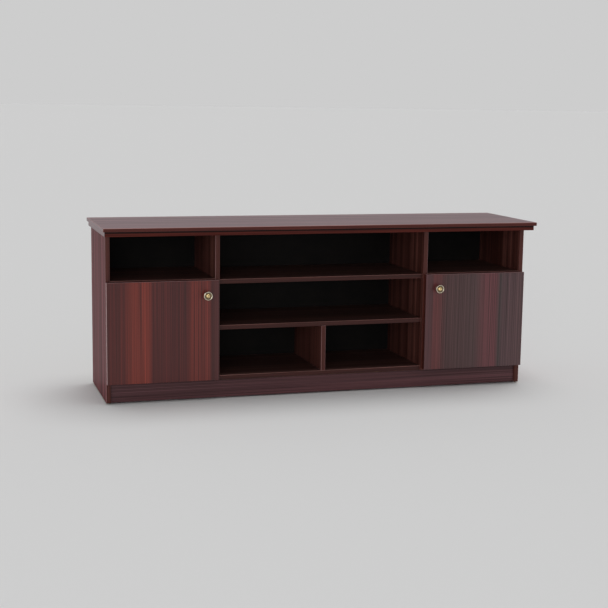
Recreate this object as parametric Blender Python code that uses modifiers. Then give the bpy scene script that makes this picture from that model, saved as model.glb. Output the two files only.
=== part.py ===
"""TV stand with two cupboards, two cubbies over them and a shelved centre bay.

Metres, +Z up, +X along the length, -Y the front that the doors face. The origin is on the
floor, under the centre of the stand's footprint, with the overhanging top counted in.

The doors hang on concealed cup hinges. A hinge is drawn in its own level plane by two numbers:
how far a point lies inward of the side panel's outer face, and how far forward of the carcass
front. Each hinge has two cranked links, one in a layer above its middle and one below.
"""

import math

import bmesh
import bpy
from mathutils import Matrix, Vector

# Carcass
CARCASS_WIDTH = 1.500
CARCASS_DEPTH = 0.345
SIDE_HEIGHT = 0.560
BOARD = 0.015
PLINTH_HEIGHT = 0.060
PLINTH_SETBACK = 0.009
PLINTH_REAR_INSET = 0.012
SHELF_SETBACK = 0.0095
GAP = 0.0003

# Top
TOP_THICKNESS = 0.012
TOP_SIDE_OVERHANG = 0.015
TOP_FRONT_OVERHANG = 0.069
UNDER_TOP_THICKNESS = 0.016
UNDER_TOP_SIDE_OVERHANG = 0.009
UNDER_TOP_FRONT_OVERHANG = 0.058

# Clear openings
CUPBOARD_WIDTH = 0.3535
CUPBOARD_HEIGHT = 0.3185
LOWER_BAY_HEIGHT = 0.1575
MIDDLE_BAY_HEIGHT = 0.142
DIVIDER_OFFSET = 0.005

# Back panel in its rebates
BACK_THICKNESS = 0.003
BACK_INSET = 0.002
REBATE_WIDTH = 0.007

# Doors
DOOR_THICKNESS = 0.015
DOOR_GAP = 0.002
DOOR_OUTER_INSET = 0.001
DOOR_PARTITION_OVERLAP = 0.0095
DOOR_TOP_DROP = 0.003
DOOR_BOTTOM_OVERLAP = 0.010

# Knobs
KNOB_RADIUS = 0.0148
KNOB_REACH = 0.026
KNOB_RIM_WIDTH = 0.0032
KNOB_FOOT_RADIUS = 0.0072
KNOB_WAIST_RADIUS = 0.0050
KNOB_WAIST_HEIGHT = 0.0073
KNOB_SHOULDER_HEIGHT = 0.0143
KNOB_RECESS_DEPTH = 0.0030
KNOB_CAP_RISE = 0.0052
KNOB_GROOVE_WIDTH = 0.0036
KNOB_FROM_DOOR_EDGE = 0.043
KNOB_FROM_DOOR_TOP = 0.049
SCREW_RADIUS = 0.0020
SCREW_HEAD_RADIUS = 0.0042
SCREW_HEAD_HEIGHT = 0.0022
SCREW_HEAD_EDGE = 0.0009
SCREW_HEAD_FLAT = 0.0025
SCREW_POINT = 0.0008
SCREW_GRIP = 0.010
SCREW_CLEARANCE = 0.0004

# Concealed hinges
HINGE_FROM_DOOR_END = 0.075
CUP_RADIUS = 0.0175
CUP_DEPTH = 0.0116
CUP_WALL = 0.0010
CUP_EDGE_DISTANCE = 0.005
CUP_RIM_RISE = 0.0008
WING_LENGTH = 0.026
WING_WIDTH = 0.012
WING_THICKNESS = 0.0010
PIN_RADIUS = 0.0010
PIN_CLEARANCE = 0.0003
LINK_THICKNESS = 0.0044
LINK_SPACING = 0.0004
LINK_HALF_WIDTH = 0.0011
EYE_RADIUS = 0.0020
CHEEK_THICKNESS = 0.0015
CHEEK_CLEARANCE = 0.0004
ARM_NOSE_RADIUS = 0.0032
ARM_TAIL_RADIUS = 0.0030
ARM_TAIL_FRONT = 0.030
ARM_TAIL_REACH = 0.058
ARM_TAIL_WIDTH = 0.013
ARM_POCKET_BACK = 0.0042
PLATE_THICKNESS = 0.003
PLATE_WING_LENGTH = 0.020
PLATE_WING_WIDTH = 0.012
PLATE_HALF_WIDTH = 0.008
PLATE_FRONT = 0.031

# Arm pivots: (inward of the side panel's inner face, forward of the carcass front)
ARM_PIVOT_OUTER = (0.0183, -0.0022)
ARM_PIVOT_INNER = (0.0228, -0.0109)

# Cup pivots and link elbows, door closed: (inward of the cup's centre, forward of the door's back)
CUP_PIVOT_OUTER = (-0.0105, 0.0058)
CUP_PIVOT_INNER = (-0.0111, 0.0020)
ELBOW_OUTER = (-0.0006, 0.0086)
ELBOW_INNER = (-0.0009, 0.0062)

# Facets on round work
SEGMENTS = 40
SMALL_SEGMENTS = 20
EYE_STEPS = 14
RIM_STEPS = 8
DOME_STEPS = 9

# Places worked out from the sizes above
FRONT_Y = (TOP_FRONT_OVERHANG - CARCASS_DEPTH) / 2
BACK_Y = FRONT_Y + CARCASS_DEPTH
HALF_WIDTH = CARCASS_WIDTH / 2
INNER_FACE_X = HALF_WIDTH - BOARD
PARTITION_OUTER_X = INNER_FACE_X - CUPBOARD_WIDTH
PARTITION_INNER_X = PARTITION_OUTER_X - BOARD
BACK_PANEL_REAR_Y = BACK_Y - BACK_INSET
BACK_PANEL_FRONT_Y = BACK_PANEL_REAR_Y - BACK_THICKNESS
INTERIOR_BACK_Y = BACK_PANEL_FRONT_Y - GAP
SHELF_FRONT_Y = FRONT_Y + SHELF_SETBACK
BOTTOM_UNDERSIDE_Z = PLINTH_HEIGHT + GAP
BOTTOM_TOP_Z = BOTTOM_UNDERSIDE_Z + BOARD
CUBBY_SHELF_Z = BOTTOM_TOP_Z + CUPBOARD_HEIGHT
LOWER_SHELF_Z = BOTTOM_TOP_Z + LOWER_BAY_HEIGHT
UPPER_SHELF_Z = LOWER_SHELF_Z + BOARD + MIDDLE_BAY_HEIGHT
UNDER_TOP_Z = SIDE_HEIGHT + GAP
TOP_Z = UNDER_TOP_Z + UNDER_TOP_THICKNESS + GAP
DOOR_BACK_Y = FRONT_Y - DOOR_GAP
DOOR_FRONT_Y = DOOR_BACK_Y - DOOR_THICKNESS
DOOR_OUTER_X = HALF_WIDTH - DOOR_OUTER_INSET
DOOR_INNER_X = PARTITION_OUTER_X - DOOR_PARTITION_OVERLAP
DOOR_BOTTOM_Z = BOTTOM_TOP_Z - DOOR_BOTTOM_OVERLAP
DOOR_TOP_Z = CUBBY_SHELF_Z + BOARD - DOOR_TOP_DROP
KNOB_X = DOOR_INNER_X + KNOB_FROM_DOOR_EDGE
KNOB_Z = DOOR_TOP_Z - KNOB_FROM_DOOR_TOP
CUP_CENTRE_X = DOOR_OUTER_X - CUP_EDGE_DISTANCE - CUP_RADIUS
CUP_CENTRE_INWARD = HALF_WIDTH - CUP_CENTRE_X
PIN_HOLE_RADIUS = PIN_RADIUS + PIN_CLEARANCE
CHEEK_INSIDE = LINK_SPACING + LINK_THICKNESS + CHEEK_CLEARANCE
CHEEK_OUTSIDE = CHEEK_INSIDE + CHEEK_THICKNESS
HINGE_HEIGHTS = {
    "lower": DOOR_BOTTOM_Z + HINGE_FROM_DOOR_END,
    "upper": DOOR_TOP_Z - HINGE_FROM_DOOR_END,
}
SIDES = {"left": -1, "right": 1}

MATERIALS = {
    "laminate": ((0.060, 0.018, 0.015), 0.42, 0.0),
    "door_laminate": ((0.085, 0.024, 0.018), 0.40, 0.0),
    "fibreboard": ((0.020, 0.012, 0.011), 0.60, 0.0),
    "nickel": ((0.60, 0.59, 0.57), 0.28, 1.0),
    "brass": ((0.78, 0.60, 0.30), 0.25, 1.0),
    "zinc": ((0.55, 0.56, 0.58), 0.40, 1.0),
    "steel": ((0.62, 0.62, 0.63), 0.35, 1.0),
}


def clear_scene():
    """Removes every object, so that the model is all that the scene holds."""
    for old in list(bpy.data.objects):
        bpy.data.objects.remove(old, do_unlink=True)


def new_collection(name):
    """A new collection under the scene's own."""
    collection = bpy.data.collections.new(name)
    bpy.context.scene.collection.children.link(collection)
    return collection


def new_material(finish, name):
    """A Principled material for one node, with the colour, roughness and metal of its finish."""
    colour, roughness, metallic = MATERIALS[finish]
    material = bpy.data.materials.new(name + "_" + finish)
    material.use_nodes = True
    shader = material.node_tree.nodes["Principled BSDF"]
    shader.inputs["Base Color"].default_value = (*colour, 1.0)
    shader.inputs["Roughness"].default_value = roughness
    shader.inputs["Metallic"].default_value = metallic
    material.diffuse_color = (*colour, 1.0)
    return material


def add_object(name, data, finish, matrix=None):
    """Puts data in the scene as a node, or as a cutter when it has no finish."""
    obj = bpy.data.objects.new(name, data)
    if finish:
        data.materials.append(new_material(finish, name))
        STAND.objects.link(obj)
    else:
        obj.hide_render = True
        obj.display_type = "WIRE"
        CUTTERS.objects.link(obj)
    if matrix:
        obj.matrix_world = matrix
    return obj


def box(name, x_range, y_range, z_range, finish=None):
    """A box between two values on each axis, with its origin at its own centre."""
    ranges = (x_range, y_range, z_range)
    size = Vector([abs(high - low) for low, high in ranges])
    centre = Vector([(low + high) / 2 for low, high in ranges])
    shape = bmesh.new()
    bmesh.ops.create_cube(shape, size=1.0)
    bmesh.ops.scale(shape, vec=size, verts=shape.verts)
    mesh = bpy.data.meshes.new(name)
    shape.to_mesh(mesh)
    shape.free()
    return add_object(name, mesh, finish, Matrix.Translation(centre))


def cylinder(name, radius, length, matrix, finish=None, segments=SMALL_SEGMENTS):
    """A cylinder along its matrix's Z axis, centred on the matrix's place."""
    shape = bmesh.new()
    bmesh.ops.create_cone(
        shape, cap_ends=True, segments=segments, radius1=radius, radius2=radius, depth=length
    )
    mesh = bpy.data.meshes.new(name)
    shape.to_mesh(mesh)
    shape.free()
    return add_object(name, mesh, finish, matrix)


def turned(name, profile, matrix, finish, segments=SEGMENTS):
    """A solid turned about its matrix's Z axis from a profile that runs down its outer side."""
    mesh = bpy.data.meshes.new(name)
    edges = [(i, i + 1) for i in range(len(profile) - 1)]
    mesh.from_pydata([(radius, 0.0, height) for radius, height in profile], edges, [])
    obj = add_object(name, mesh, finish, matrix)
    screw = obj.modifiers.new("turn", "SCREW")
    screw.steps = segments
    screw.render_steps = segments
    screw.use_merge_vertices = True
    screw.merge_threshold = 0.00005
    screw.use_normal_calculate = False
    return obj


def outline_plate(name, loops, thickness, matrix, finish=None):
    """A flat plate from closed outlines, the first its edge and the others its holes."""
    curve = bpy.data.curves.new(name, "CURVE")
    curve.dimensions = "2D"
    curve.fill_mode = "BOTH"
    curve.extrude = thickness / 2
    for loop in loops:
        spline = curve.splines.new("POLY")
        spline.points.add(len(loop) - 1)
        for point, (x, y) in zip(spline.points, loop):
            point.co = (x, y, 0.0, 1.0)
        spline.use_cyclic_u = True
    return add_object(name, curve, finish, matrix)


def to_mesh(obj):
    """Turns a curve object into a welded mesh object of the same name and place."""
    bpy.context.view_layer.update()
    graph = bpy.context.evaluated_depsgraph_get()
    mesh = bpy.data.meshes.new_from_object(obj.evaluated_get(graph))
    shape = bmesh.new()
    shape.from_mesh(mesh)
    bmesh.ops.remove_doubles(shape, verts=shape.verts, dist=0.000001)
    shape.to_mesh(mesh)
    shape.free()
    name = obj.name
    place = obj.matrix_world.copy()
    homes = list(obj.users_collection)
    bpy.data.objects.remove(obj, do_unlink=True)
    solid = bpy.data.objects.new(name, mesh)
    for home in homes:
        home.objects.link(solid)
    solid.matrix_world = place
    return solid


def combine(obj, operation, *others):
    """Adds one Boolean modifier to obj for each of the other solids."""
    for other in others:
        modifier = obj.modifiers.new(other.name, "BOOLEAN")
        modifier.operation = operation
        modifier.solver = "EXACT"
        modifier.object = other


def hang_on(obj, axis):
    """Parents obj to the empty on its joint's axis, without moving it."""
    bpy.context.view_layer.update()
    obj.parent = axis
    obj.matrix_parent_inverse = axis.matrix_world.inverted()


def joint_axis(name, x, y):
    """An empty on an upright joint axis."""
    axis = bpy.data.objects.new(name, None)
    axis.empty_display_size = 0.02
    axis.location = (x, y, 0.0)
    STAND.objects.link(axis)
    return axis


def arc(centre, radius, start, end, steps):
    """Points on an arc, both ends included."""
    angles = [start + (end - start) * i / steps for i in range(steps + 1)]
    return [(centre[0] + radius * math.cos(a), centre[1] + radius * math.sin(a)) for a in angles]


def circle(centre, radius, steps=SMALL_SEGMENTS):
    """A closed ring of points."""
    return arc(centre, radius, 0.0, 2 * math.pi * (steps - 1) / steps, steps - 1)


def hull(points):
    """The convex outline round a set of points, anticlockwise."""
    ordered = sorted(set(points))

    def chain(sequence):
        kept = []
        for point in sequence:
            while len(kept) > 1 and turn(kept[-2], kept[-1], point) <= 0:
                kept.pop()
            kept.append(point)
        return kept[:-1]

    return chain(ordered) + chain(reversed(ordered))


def turn(a, b, c):
    """Twice the signed area of a triangle: positive where a, b, c turn to the left."""
    return (b[0] - a[0]) * (c[1] - a[1]) - (b[1] - a[1]) * (c[0] - a[0])


def link_outline(first, elbow, last):
    """A cranked link: a round eye at each end and a band between them with one elbow."""
    ends = [Vector(first), Vector(last)]
    bend = Vector(elbow)
    gap_angle = math.asin(LINK_HALF_WIDTH / EYE_RADIUS)
    outline = []
    for eye, other in (ends, reversed(ends)):
        heading = math.atan2(bend.y - eye.y, bend.x - eye.x)
        last_angle = heading + 2 * math.pi - gap_angle
        outline += arc(eye, EYE_RADIUS, heading + gap_angle, last_angle, EYE_STEPS)
        arriving = (bend - eye).normalized()
        leaving = (other - bend).normalized()
        miter = (arriving + leaving).normalized()
        across = Vector((miter.y, -miter.x))
        reach = LINK_HALF_WIDTH / across.dot(Vector((arriving.y, -arriving.x)))
        outline.append(tuple(bend + across * reach))
    return outline


def make_carcass():
    """Sides, partitions, bottoms, shelves, divider, plinth, back and the two-layer top."""
    rebate_y = BACK_PANEL_FRONT_Y - GAP
    for side, sign in SIDES.items():
        outer = sign * HALF_WIDTH
        inner = sign * INNER_FACE_X
        notch = sign * (INNER_FACE_X + REBATE_WIDTH)
        section = [
            (outer, FRONT_Y),
            (inner, FRONT_Y),
            (inner, rebate_y),
            (notch, rebate_y),
            (notch, BACK_Y),
            (outer, BACK_Y),
        ]
        middle = Matrix.Translation((0, 0, SIDE_HEIGHT / 2))
        outline_plate("side_panel_" + side, [section], SIDE_HEIGHT, middle, "laminate")
        box(
            "partition_" + side,
            (sign * PARTITION_INNER_X, sign * PARTITION_OUTER_X),
            (FRONT_Y, INTERIOR_BACK_Y),
            (PLINTH_HEIGHT + GAP, SIDE_HEIGHT),
            "laminate",
        )
        cupboard_x = (sign * (PARTITION_OUTER_X + GAP), sign * (INNER_FACE_X - GAP))
        bottom_z = (BOTTOM_UNDERSIDE_Z, BOTTOM_TOP_Z)
        cubby_z = (CUBBY_SHELF_Z, CUBBY_SHELF_Z + BOARD)
        shelf_y = (SHELF_FRONT_Y, INTERIOR_BACK_Y)
        box("bottom_panel_" + side, cupboard_x, shelf_y, bottom_z, "laminate")
        box("cubby_shelf_" + side, cupboard_x, (FRONT_Y, INTERIOR_BACK_Y), cubby_z, "laminate")

    centre_x = (-PARTITION_INNER_X + GAP, PARTITION_INNER_X - GAP)
    centre_boards = {
        "bottom_panel_centre": BOTTOM_UNDERSIDE_Z,
        "centre_shelf_lower": LOWER_SHELF_Z,
        "centre_shelf_upper": UPPER_SHELF_Z,
    }
    for name, low in centre_boards.items():
        box(name, centre_x, (SHELF_FRONT_Y, INTERIOR_BACK_Y), (low, low + BOARD), "laminate")
    box(
        "centre_divider",
        (DIVIDER_OFFSET - BOARD / 2, DIVIDER_OFFSET + BOARD / 2),
        (SHELF_FRONT_Y, INTERIOR_BACK_Y),
        (BOTTOM_TOP_Z + GAP, LOWER_SHELF_Z - GAP),
        "laminate",
    )

    plinth_x = (-INNER_FACE_X + GAP, INNER_FACE_X - GAP)
    plinth_front = FRONT_Y + PLINTH_SETBACK
    plinth_rear = BACK_PANEL_FRONT_Y - PLINTH_REAR_INSET
    rails = {"plinth_front": plinth_front, "plinth_rear": plinth_rear - BOARD}
    for name, low in rails.items():
        box(name, plinth_x, (low, low + BOARD), (0.0, PLINTH_HEIGHT), "laminate")

    back_reach = INNER_FACE_X + REBATE_WIDTH - GAP
    box(
        "back_panel",
        (-back_reach, back_reach),
        (BACK_PANEL_FRONT_Y, BACK_PANEL_REAR_Y),
        (PLINTH_HEIGHT, SIDE_HEIGHT),
        "fibreboard",
    )

    layers = {
        "under_top_panel": (
            UNDER_TOP_SIDE_OVERHANG, UNDER_TOP_FRONT_OVERHANG, UNDER_TOP_Z, UNDER_TOP_THICKNESS
        ),
        "top_panel": (TOP_SIDE_OVERHANG, TOP_FRONT_OVERHANG, TOP_Z, TOP_THICKNESS),
    }
    for name, (side_overhang, front_overhang, low, thickness) in layers.items():
        reach = HALF_WIDTH + side_overhang
        box(
            name,
            (-reach, reach),
            (FRONT_Y - front_overhang, BACK_Y),
            (low, low + thickness),
            "laminate",
        )


def upright(x, y, z):
    """A matrix at a place, with its Z axis up."""
    return Matrix.Translation((x, y, z))


def facing_front(x, y, z):
    """A matrix at a place, with its Z axis pointing out of the stand's front."""
    return Matrix.Translation((x, y, z)) @ Matrix.Rotation(math.radians(90), 4, "X")


def make_door(side, sign, door_axis):
    """One door, bored for two hinge cups and for the knob's screw."""
    door = box(
        "door_" + side,
        (sign * DOOR_INNER_X, sign * DOOR_OUTER_X),
        (DOOR_FRONT_Y, DOOR_BACK_Y),
        (DOOR_BOTTOM_Z, DOOR_TOP_Z),
        "door_laminate",
    )
    bore_depth = CUP_DEPTH + GAP
    for place, height in HINGE_HEIGHTS.items():
        bore = cylinder(
            f"cup_bore_{side}_{place}",
            CUP_RADIUS,
            2 * bore_depth,
            facing_front(sign * CUP_CENTRE_X, DOOR_BACK_Y, height),
            segments=SEGMENTS,
        )
        combine(door, "DIFFERENCE", bore)
        hang_on(bore, door_axis)
    screw_hole = cylinder(
        "knob_hole_" + side,
        SCREW_RADIUS + SCREW_CLEARANCE,
        2 * DOOR_THICKNESS,
        facing_front(sign * KNOB_X, (DOOR_FRONT_Y + DOOR_BACK_Y) / 2, KNOB_Z),
    )
    combine(door, "DIFFERENCE", screw_hole)
    hang_on(screw_hole, door_axis)
    hang_on(door, door_axis)


def make_knob(side, sign, door_axis):
    """A turned knob, the domed cap set in its recess and the screw that holds it on the door."""
    bore_radius = SCREW_RADIUS + SCREW_CLEARANCE
    bore_depth = SCREW_GRIP + SCREW_CLEARANCE
    recess_radius = KNOB_RADIUS - KNOB_RIM_WIDTH
    recess_floor = KNOB_REACH - KNOB_RECESS_DEPTH
    rim_round = KNOB_RIM_WIDTH / 2
    rim_centre = (KNOB_RADIUS - rim_round, KNOB_REACH - rim_round)
    body = [(0.0, recess_floor), (recess_radius, recess_floor)]
    body += arc(rim_centre, rim_round, math.pi, 0.0, RIM_STEPS)
    body += [
        (KNOB_RADIUS, KNOB_SHOULDER_HEIGHT + rim_round),
        (KNOB_RADIUS - rim_round, KNOB_SHOULDER_HEIGHT),
        (KNOB_WAIST_RADIUS + rim_round, KNOB_WAIST_HEIGHT + rim_round),
        (KNOB_WAIST_RADIUS, KNOB_WAIST_HEIGHT),
        (KNOB_FOOT_RADIUS, GAP + rim_round),
        (KNOB_FOOT_RADIUS, GAP),
        (bore_radius, GAP),
        (bore_radius, bore_depth),
        (0.0, bore_depth),
    ]
    place = facing_front(sign * KNOB_X, DOOR_FRONT_Y, KNOB_Z)
    pieces = [turned("knob_body_" + side, body, place, "nickel")]

    cap_radius = recess_radius - KNOB_GROOVE_WIDTH
    cap_base = recess_floor + GAP
    dome_radius = (cap_radius**2 + KNOB_CAP_RISE**2) / (2 * KNOB_CAP_RISE)
    dome_centre = (0.0, cap_base + KNOB_CAP_RISE - dome_radius)
    edge_angle = math.acos(cap_radius / dome_radius)
    cap = arc(dome_centre, dome_radius, math.pi / 2, edge_angle, DOME_STEPS)
    cap[0] = (0.0, cap_base + KNOB_CAP_RISE)
    cap.append((0.0, cap_base))
    pieces.append(turned("knob_cap_" + side, cap, place, "brass"))

    head_seat = -DOOR_THICKNESS - GAP
    head_top = head_seat - SCREW_HEAD_HEIGHT
    screw = [
        (0.0, SCREW_GRIP),
        (SCREW_RADIUS - SCREW_POINT, SCREW_GRIP),
        (SCREW_RADIUS, SCREW_GRIP - SCREW_POINT),
        (SCREW_RADIUS, head_seat),
        (SCREW_HEAD_RADIUS, head_seat),
        (SCREW_HEAD_RADIUS, head_seat - SCREW_HEAD_EDGE),
        (SCREW_HEAD_FLAT, head_top),
        (0.0, head_top),
    ]
    pieces.append(turned("knob_screw_" + side, screw, place, "steel", SMALL_SEGMENTS))
    for piece in pieces:
        hang_on(piece, door_axis)


def from_arm(point):
    """A point given from the side panel's inner face, in the hinge's own plane."""
    return (BOARD + point[0], point[1])


def from_cup(point):
    """A point given from the cup's centre and the door's back, in the hinge's own plane."""
    return (CUP_CENTRE_INWARD + point[0], DOOR_GAP + point[1])


def hinge_place(sign, point):
    """World x and y of a point in a hinge's own plane."""
    inward, forward = point
    return (sign * (HALF_WIDTH - inward), FRONT_Y - forward)


def hinge_loop(sign, loop):
    """An outline in a hinge's own plane, carried to world x and y."""
    return [hinge_place(sign, point) for point in loop]


def make_link(name, sign, height, arm_pivot, elbow, cup_pivot, layer, axis):
    """One cranked link in its layer above or below the hinge's middle, hung on its arm pivot."""
    pivots = (from_arm(arm_pivot), from_cup(cup_pivot))
    outline = link_outline(pivots[0], from_cup(elbow), pivots[1])
    holes = [circle(pivot, PIN_HOLE_RADIUS) for pivot in pivots]
    loops = [hinge_loop(sign, loop) for loop in [outline, *holes]]
    middle = height + layer * (LINK_SPACING + LINK_THICKNESS / 2)
    link = outline_plate(name, loops, LINK_THICKNESS, upright(0, 0, middle), "zinc")
    hang_on(link, axis)


def make_pin(name, sign, pivot, low, high, axis=None):
    """A pivot pin standing upright between two heights."""
    x, y = hinge_place(sign, pivot)
    pin = cylinder(name, PIN_RADIUS, high - low, upright(x, y, (low + high) / 2), "steel")
    if axis:
        hang_on(pin, axis)


def make_arm(name, sign, height):
    """The hinge arm: two cheeks that carry the arm pins, joined by a solid tail on the plate."""
    tail_outer = BOARD + PLATE_THICKNESS + 2 * GAP + ARM_TAIL_RADIUS
    tail_inner = tail_outer + ARM_TAIL_WIDTH
    pivots = [from_arm(ARM_PIVOT_OUTER), from_arm(ARM_PIVOT_INNER)]
    discs = [
        (pivots[0], ARM_NOSE_RADIUS),
        (pivots[1], ARM_NOSE_RADIUS),
        ((tail_outer, -ARM_TAIL_REACH), ARM_TAIL_RADIUS),
        ((tail_inner, -ARM_TAIL_REACH), ARM_TAIL_RADIUS),
        ((tail_outer, -ARM_TAIL_FRONT), ARM_TAIL_RADIUS),
    ]
    points = [point for centre, radius in discs for point in circle(centre, radius)]
    holes = [circle(pivot, PIN_HOLE_RADIUS) for pivot in pivots]
    loops = [hinge_loop(sign, loop) for loop in [hull(points), *holes]]
    plate = outline_plate(name, loops, 2 * CHEEK_OUTSIDE, upright(0, 0, height), "zinc")
    arm = to_mesh(plate)
    pocket_back = ARM_PIVOT_INNER[1] - ARM_POCKET_BACK
    pocket_front = ARM_PIVOT_OUTER[1] + 2 * ARM_NOSE_RADIUS
    pocket = box(
        name + "_pocket",
        (sign * (HALF_WIDTH - BOARD), sign * (HALF_WIDTH - 2 * tail_inner)),
        (FRONT_Y - pocket_front, FRONT_Y - pocket_back),
        (height - CHEEK_INSIDE, height + CHEEK_INSIDE),
    )
    combine(arm, "DIFFERENCE", pocket)


def make_mounting_plate(name, sign, height):
    """A cross-shaped plate flat on the side panel's inner face."""
    back = ARM_TAIL_REACH + ARM_TAIL_RADIUS
    wing_back = (PLATE_FRONT + back + PLATE_WING_WIDTH) / 2
    wing_front = wing_back - PLATE_WING_WIDTH
    half = [
        (PLATE_FRONT, PLATE_HALF_WIDTH),
        (wing_front, PLATE_HALF_WIDTH),
        (wing_front, PLATE_WING_LENGTH),
        (wing_back, PLATE_WING_LENGTH),
        (wing_back, PLATE_HALF_WIDTH),
        (back, PLATE_HALF_WIDTH),
    ]
    cross = half + [(along, -across) for along, across in reversed(half)]
    x = sign * (INNER_FACE_X - GAP - PLATE_THICKNESS / 2)
    flat_on_side = Matrix(((0, 0, 1, x), (1, 0, 0, FRONT_Y), (0, 1, 0, height), (0, 0, 0, 1)))
    outline_plate(name, [cross], PLATE_THICKNESS, flat_on_side, "zinc")


def make_cup(name, sign, height, door_axis):
    """The hinge cup in the door, with two screw wings flat on the door's back."""
    outer = CUP_RADIUS - GAP
    inner = outer - CUP_WALL
    profile = [
        (0.0, CUP_WALL - CUP_DEPTH),
        (inner, CUP_WALL - CUP_DEPTH),
        (inner, CUP_RIM_RISE),
        (outer, CUP_RIM_RISE),
        (outer, -CUP_DEPTH),
        (0.0, -CUP_DEPTH),
    ]
    facing_back = Matrix.Rotation(math.radians(-90), 4, "X")
    x = sign * CUP_CENTRE_X
    cup = turned(name, profile, Matrix.Translation((x, DOOR_BACK_Y, height)) @ facing_back, "zinc")
    wing_start = inner + CUP_WALL / 6
    wing_y = (DOOR_BACK_Y + GAP, DOOR_BACK_Y + GAP + WING_THICKNESS)
    wing_x = (x - WING_WIDTH / 2, x + WING_WIDTH / 2)
    wings = []
    for end, layer in {"low": -1, "high": 1}.items():
        wing_z = (height + layer * wing_start, height + layer * WING_LENGTH)
        wings.append(box(f"{name}_wing_{end}", wing_x, wing_y, wing_z))
    combine(cup, "UNION", *wings)
    pin_x, pin_y = hinge_place(sign, from_cup(CUP_PIVOT_OUTER))
    hole_place = upright(pin_x, pin_y, height + CUP_RADIUS / 2)
    pin_hole = cylinder(name + "_pin_hole", PIN_HOLE_RADIUS, CUP_RADIUS, hole_place)
    combine(cup, "DIFFERENCE", pin_hole)
    for piece in [cup, *wings, pin_hole]:
        hang_on(piece, door_axis)
    middle_of_wall = outer - CUP_WALL / 2
    return math.sqrt(middle_of_wall**2 - CUP_PIVOT_OUTER[0] ** 2)


def make_hinges(side, sign, link_axis, inner_axis, door_axis):
    """The two hinges of one door."""
    outer_place = from_arm(ARM_PIVOT_OUTER)
    inner_place = from_arm(ARM_PIVOT_INNER)
    outer_shape = (ARM_PIVOT_OUTER, ELBOW_OUTER, CUP_PIVOT_OUTER)
    inner_shape = (ARM_PIVOT_INNER, ELBOW_INNER, CUP_PIVOT_INNER)
    cheek = CHEEK_OUTSIDE - GAP
    near = LINK_SPACING / 2
    for place, height in HINGE_HEIGHTS.items():
        tag = f"{side}_{place}"
        make_mounting_plate("hinge_plate_" + tag, sign, height)
        make_arm("hinge_arm_" + tag, sign, height)
        reach = make_cup("hinge_cup_" + tag, sign, height, door_axis)
        make_link("outer_link_" + tag, sign, height, *outer_shape, 1, link_axis)
        make_link("inner_link_" + tag, sign, height, *inner_shape, -1, inner_axis)
        make_pin("arm_pin_outer_" + tag, sign, outer_place, height + near, height + cheek)
        make_pin("arm_pin_inner_" + tag, sign, inner_place, height - cheek, height - near)
        cup_place = from_cup(CUP_PIVOT_OUTER)
        make_pin("cup_pin_" + tag, sign, cup_place, height + near, height + reach, door_axis)


clear_scene()
STAND = new_collection("tv_stand_with_doors")
CUTTERS = new_collection("tv_stand_cutters")
make_carcass()
for side_name, side_sign in SIDES.items():
    outer_pivot, inner_pivot, cup_pivot = [
        joint_axis(f"{kind}_axis_{side_name}", *hinge_place(side_sign, point))
        for kind, point in {
            "outer_link": from_arm(ARM_PIVOT_OUTER),
            "inner_link": from_arm(ARM_PIVOT_INNER),
            "door": from_cup(CUP_PIVOT_OUTER),
        }.items()
    ]
    hang_on(cup_pivot, outer_pivot)
    make_door(side_name, side_sign, cup_pivot)
    make_knob(side_name, side_sign, cup_pivot)
    make_hinges(side_name, side_sign, outer_pivot, inner_pivot, cup_pivot)
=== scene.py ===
"""The look of a TV stand with two doors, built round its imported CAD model.

Metres, in the model's own frame: +Z up, +X along the stand, -Y the front. Every board is made
again with fine arrises, a laminate or foil on each face and a band on each edge. The hinges are
welded, softened copies of their CAD nodes, and Geometry Nodes set the screws, cams and nails.
"""

import logging
import math
from collections.abc import Iterable
from dataclasses import dataclass, field, replace
from enum import Enum
from functools import partial

import bmesh
import bpy
from mathutils import Matrix, Vector


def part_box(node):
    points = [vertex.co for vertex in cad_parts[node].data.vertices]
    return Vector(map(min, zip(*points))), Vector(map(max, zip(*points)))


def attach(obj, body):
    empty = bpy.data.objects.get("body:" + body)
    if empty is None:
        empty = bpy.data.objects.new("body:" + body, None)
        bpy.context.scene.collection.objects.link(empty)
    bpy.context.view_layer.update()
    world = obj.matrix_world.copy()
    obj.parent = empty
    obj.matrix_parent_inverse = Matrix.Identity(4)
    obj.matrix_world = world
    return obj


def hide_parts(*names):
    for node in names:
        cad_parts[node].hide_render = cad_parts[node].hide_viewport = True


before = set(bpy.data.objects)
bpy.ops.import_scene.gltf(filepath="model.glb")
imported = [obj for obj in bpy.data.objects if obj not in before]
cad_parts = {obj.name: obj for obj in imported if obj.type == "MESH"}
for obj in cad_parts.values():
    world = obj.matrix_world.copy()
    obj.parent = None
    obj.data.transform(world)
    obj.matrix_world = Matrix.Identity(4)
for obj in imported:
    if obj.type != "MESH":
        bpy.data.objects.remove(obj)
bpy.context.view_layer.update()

log = logging.getLogger("tv_stand")

MM = 0.001
SIDES = {"left": -1, "right": 1}
HINGE_PLACES = ("lower", "upper")

# Two unit normals whose product is over this look the same way
SQUARE = 0.999

# The Mix node's sockets for colours
MIX_FACTOR, MIX_FIRST, MIX_SECOND, MIX_RESULT = 0, 6, 7, 2


class Grain(Enum):
    """Which way the printed wood grain runs."""

    UPRIGHT = (0, 0, 1)
    LENGTHWISE = (1, 0, 0)
    DEPTHWISE = (0, 1, 0)


class Face(Enum):
    """A face of a board, by the way that it looks."""

    LEFT = (-1, 0, 0)
    RIGHT = (1, 0, 0)
    FRONT = (0, -1, 0)
    REAR = (0, 1, 0)
    UNDER = (0, 0, -1)
    OVER = (0, 0, 1)


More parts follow.
